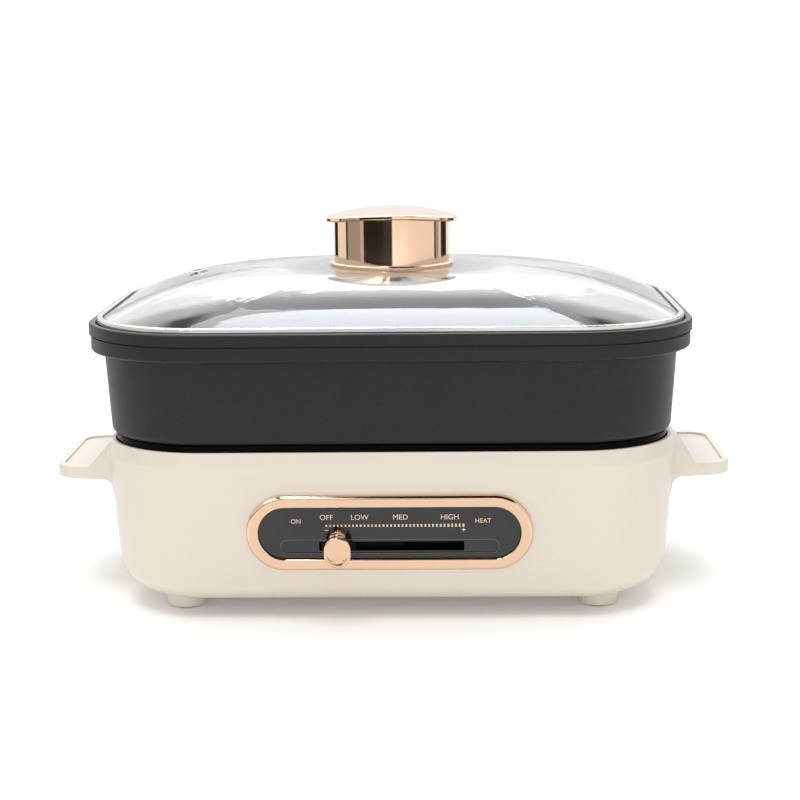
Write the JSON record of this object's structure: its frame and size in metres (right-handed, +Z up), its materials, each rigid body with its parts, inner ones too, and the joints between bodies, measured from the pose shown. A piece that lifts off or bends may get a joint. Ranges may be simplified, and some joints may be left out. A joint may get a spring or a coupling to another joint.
{
  "type": "electric cooking pan",
  "caption": "Countertop electric pan: plastic base with side handles and a slide temperature control, a lift-off non-stick pan and a domed glass lid with a round knob.",
  "frame": {"origin": "on the table under the middle of the base", "axes": "+X to the user's right along the long side, +Y away from the user, +Z up"},
  "size_m": [0.41, 0.2506, 0.2288],
  "materials": {
    "cream_plastic": "fine satin moulded cream",
    "black_gloss": "glossy black",
    "dark_plastic": "matt black moulded",
    "white_acetal": "white acetal",
    "rose_gold": "polished rose-gold anodised",
    "lens": "smoked clear",
    "lamp": "tinted lamp",
    "steel": "bright steel",
    "plain_aluminium": "plain turned",
    "brass": "plain",
    "ceramic": "unglazed white",
    "wire_sleeve": "woven heat-proof sleeve",
    "soft_rubber": "soft matt",
    "pan_coating": "black non-stick coating on die-cast metal",
    "lid_glass": "clear toughened"
  },
  "bodies": {
    "base": {"base_shell": "cream_plastic", "left_handle": "cream_plastic", "right_handle": "cream_plastic", "front_left_foot": "cream_plastic", "front_right_foot": "cream_plastic", "back_left_foot": "cream_plastic", "back_right_foot": "cream_plastic", "bottom_cover": "cream_plastic", "support_ring": "black_gloss", "control_panel": "black_gloss", "slide_frame": "dark_plastic", "carriage_retainer": "dark_plastic", "thermostat_body": "dark_plastic", "power_inlet": "dark_plastic", "panel_bezel": "rose_gold", "on_lamp_lens": "lens", "heat_lamp_lens": "lens", "indicator_lamps": "lamp", "handle_screws": "steel", "cover_screws": "steel", "foot_screws": "steel", "deck_screws": "steel", "bezel_screws": "steel", "retainer_screws": "steel", "bracket_screws": "steel", "inlet_screws": "steel", "heater_well": "steel", "heating_element": "steel", "element_clips": "steel", "thermostat_bracket": "steel", "sensor_sleeve": "plain_aluminium", "thermal_fuse": "plain_aluminium", "inlet_pins": "brass", "thermostat_tabs": "brass", "thermostat_nut": "brass", "element_bushes": "ceramic", "inlet_lead": "wire_sleeve", "heater_lead": "wire_sleeve", "fuse_lead": "wire_sleeve", "return_lead": "wire_sleeve", "foot_pads": "soft_rubber"},
    "slider": {"slider_knob": "rose_gold", "slider_carriage": "dark_plastic", "slider_screw": "steel"},
    "thermostat_drive": {"drive_pinion": "white_acetal", "thermostat_spindle": "brass"},
    "sensor": {"sensor_cap": "plain_aluminium", "sensor_clip": "steel", "sensor_spring": "steel"},
    "pan": {"pan": "pan_coating"},
    "lid": {"lid_glass": "lid_glass", "lid_hoop": "steel", "lid_gasket": "soft_rubber", "vent_eyelet": "steel", "knob_body": "rose_gold", "knob_cap": "rose_gold", "knob_washer": "soft_rubber", "knob_screw": "steel", "locating_pin": "steel"}
  },
  "joints": [
    {"name": "pan_lift", "type": "slide", "parent": "base", "child": "pan", "axis": [0, 0, 1], "range_m": [0, 0.12]},
    {"name": "lid_lift", "type": "slide", "parent": "pan", "child": "lid", "axis": [0, 0, 1], "range_m": [0, 0.1]},
    {"name": "slider_slide", "type": "slide", "parent": "base", "child": "slider", "axis": [1, 0, 0], "range_m": [0, 0.0615]},
    {"name": "thermostat_turn", "type": "hinge", "parent": "base", "child": "thermostat_drive", "pos_m": [0.0011, -0.10521, 0.06279], "axis": [0, -0.9976, -0.0698], "range_deg": [0, 270]},
    {"name": "sensor_press", "type": "slide", "parent": "base", "child": "sensor", "axis": [0, 0, 1], "range_m": [-0.003, 0], "stiffness_N_per_m": 300, "springref_m": 0.004, "deforming": ["sensor_spring"]}
  ],
  "couplings": [
    {"joint": "thermostat_turn", "follows": "slider_slide", "rad_per_m": 75.758}
  ]
}
